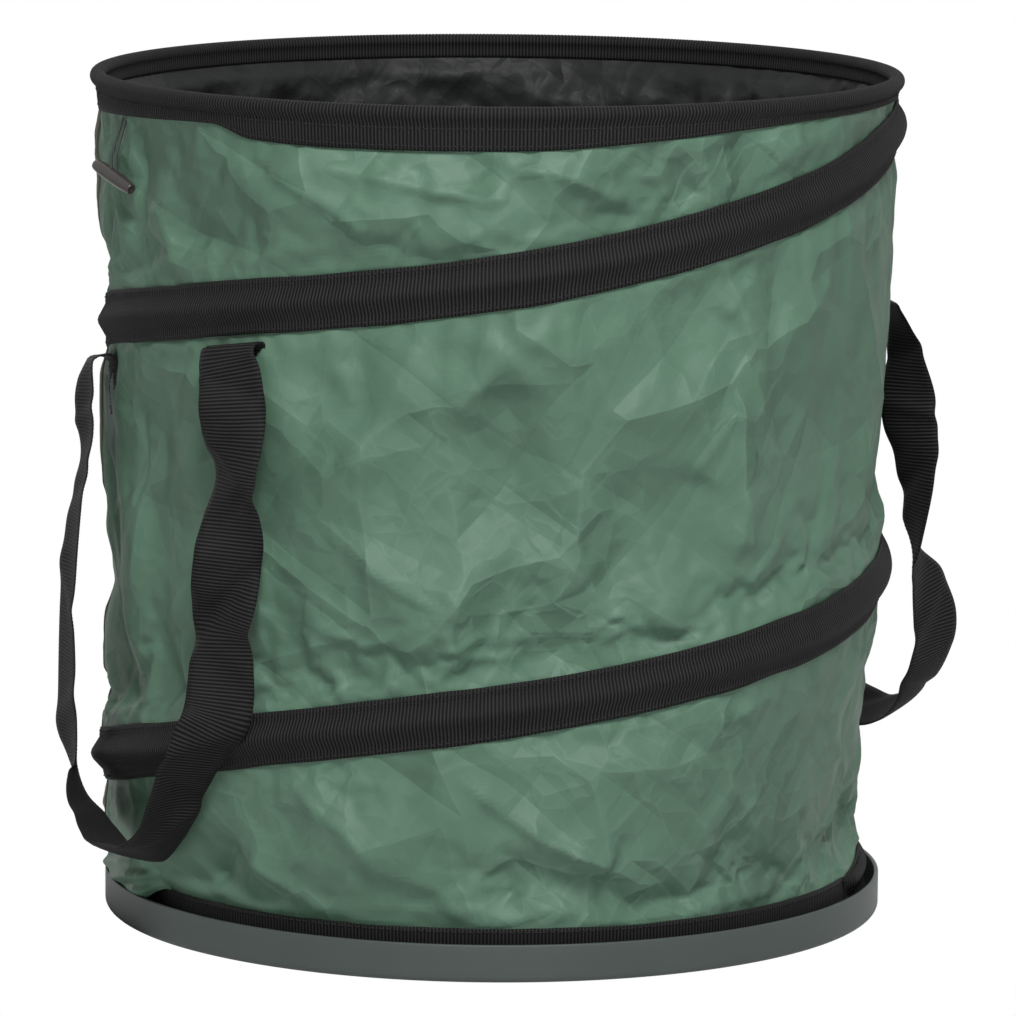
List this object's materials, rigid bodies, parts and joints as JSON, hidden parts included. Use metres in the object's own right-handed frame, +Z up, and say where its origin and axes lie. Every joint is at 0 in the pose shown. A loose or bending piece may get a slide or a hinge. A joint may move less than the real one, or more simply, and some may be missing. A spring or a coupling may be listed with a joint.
{
  "type": "pop up leaf bag",
  "caption": "Spring-coil garden waste bag: a lined cloth drum that stands open on a shallow tray, with webbing handles, and folds flat.",
  "frame": {"origin": "centre of the tray's underside, on the surface that the bag stands on", "axes": "+Z up along the drum's axis, -Y towards the front, +X to the right; the handles are at the left front and at the right back"},
  "size_m": [0.5231, 0.467, 0.4858],
  "materials": {
    "tray_plastic": "moulded recycled plastic, lightly textured",
    "green_cloth": "woven polyester with a satin sheen",
    "black_lining": "waterproof coating, shiny and creased",
    "black_webbing": "ribbed woven webbing",
    "spring_steel": "drawn spring wire, oiled",
    "crimp_steel": "plain crimped tube",
    "elastic_cord": "braided elastic cord",
    "toggle_plastic": "moulded, slightly glossy"
  },
  "bodies": {
    "base": {"base_tray": "tray_plastic", "bag_floor": "green_cloth", "floor_lining": "black_lining", "base_wire": "spring_steel", "base_wire_sleeve": "crimp_steel", "base_ring_casing": "black_webbing", "catch_loop_left": "black_webbing", "catch_loop_right": "black_webbing", "outer_cloth": "green_cloth", "inner_lining": "black_lining", "coil_wire": "spring_steel", "coil_casing": "black_webbing"},
    "rim": {"rim_wire": "spring_steel", "rim_wire_sleeve": "crimp_steel", "rim_casing": "black_webbing"},
    "handle_mount_left": {"handle_tab_left_front": "black_webbing", "handle_tab_left_back": "black_webbing"},
    "handle_left": {"handle_strap_left": "black_webbing"},
    "toggle_left": {"toggle_elastic_left": "elastic_cord", "toggle_left": "toggle_plastic"},
    "handle_mount_right": {"handle_tab_right_front": "black_webbing", "handle_tab_right_back": "black_webbing"},
    "handle_right": {"handle_strap_right": "black_webbing"},
    "toggle_right": {"toggle_elastic_right": "elastic_cord", "toggle_right": "toggle_plastic"}
  },
  "joints": [
    {"name": "collapse", "type": "slide", "parent": "base", "child": "rim", "axis": [0, 0, -1], "range_m": [0, 0.37], "stiffness_N_per_m": 60, "springref_m": -0.2, "deforming": ["outer_cloth", "inner_lining", "coil_wire", "coil_casing"]},
    {"name": "handle_mount_left_drop", "type": "slide", "parent": "base", "child": "handle_mount_left", "axis": [0, 0, -1], "range_m": [0, 0.262]},
    {"name": "handle_mount_right_drop", "type": "slide", "parent": "base", "child": "handle_mount_right", "axis": [0, 0, -1], "range_m": [0, 0.272]},
    {"name": "handle_left_swing", "type": "hinge", "parent": "handle_mount_left", "child": "handle_left", "pos_m": [-0.18541, -0.11158, 0.33614], "axis": [-0.5047, 0.85, -0.1506], "range_deg": [0, 105]},
    {"name": "handle_right_swing", "type": "hinge", "parent": "handle_mount_right", "child": "handle_right", "pos_m": [0.18572, 0.11148, 0.3492], "axis": [0.5178, -0.8555, 0], "range_deg": [0, 105]},
    {"name": "toggle_left_swing", "type": "hinge", "parent": "rim", "child": "toggle_left", "pos_m": [-0.20857, -0.09286, 0.46509], "axis": [-0.4067, 0.9135, 0], "range_deg": [0, 90]},
    {"name": "toggle_right_swing", "type": "hinge", "parent": "rim", "child": "toggle_right", "pos_m": [0.20928, 0.09318, 0.4734], "axis": [0.4067, -0.9135, 0], "range_deg": [0, 90]}
  ],
  "couplings": [
    {"joint": "handle_mount_left_drop", "follows": "collapse", "ratio": 0.7081},
    {"joint": "handle_mount_right_drop", "follows": "collapse", "ratio": 0.7351}
  ]
}
